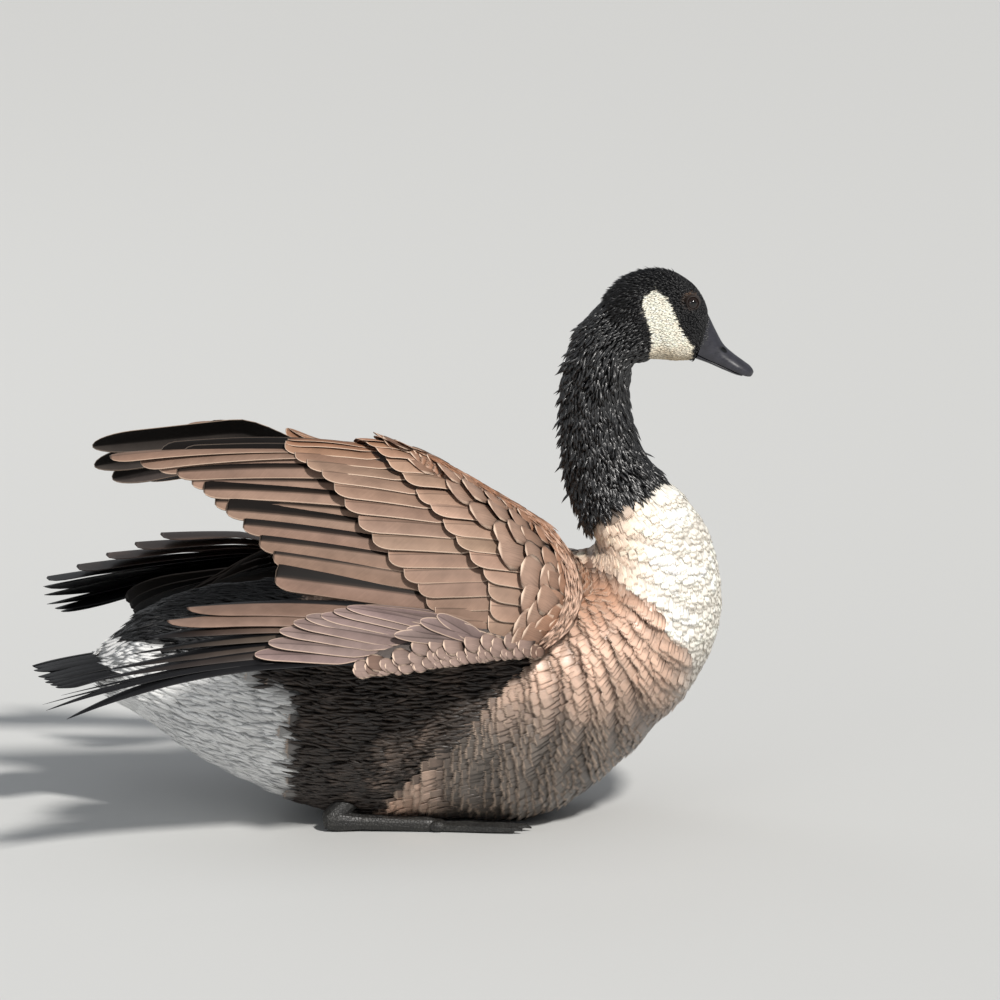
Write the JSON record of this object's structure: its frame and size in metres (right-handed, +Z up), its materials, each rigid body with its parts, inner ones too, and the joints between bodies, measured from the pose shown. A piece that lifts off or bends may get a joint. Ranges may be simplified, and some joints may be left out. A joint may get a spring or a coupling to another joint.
{
  "type": "canada goose",
  "caption": "Still, life-size Canada goose that rests on its belly with its feet tucked in, its neck raised in a curve and both wings half lifted and swept back.",
  "frame": {"origin": "on the floor, in the middle of the flat under the belly, in the bird's plane of symmetry", "axes": "+X towards the bill, +Y towards the bird's left side, +Z up"},
  "size_m": [0.581, 0.5311, 0.4446],
  "materials": {
    "black_plumage": "glossy, wet",
    "brown_plumage": "matt",
    "tan_plumage": "matt",
    "horn_black": "satin horn",
    "leg_skin": "scaled",
    "eye_brown": "polished"
  },
  "bodies": {
    "root": {"torso": "tan_plumage", "neck_lower": "black_plumage", "neck_upper": "black_plumage", "head": "black_plumage", "bill_upper": "horn_black", "bill_lower": "horn_black", "eye_right": "eye_brown", "eye_left": "eye_brown", "wing_right": "brown_plumage", "wing_left": "brown_plumage", "tail": "black_plumage", "leg_right": "leg_skin", "leg_left": "leg_skin", "foot_right": "leg_skin", "foot_left": "leg_skin"}
  },
  "joints": []
}
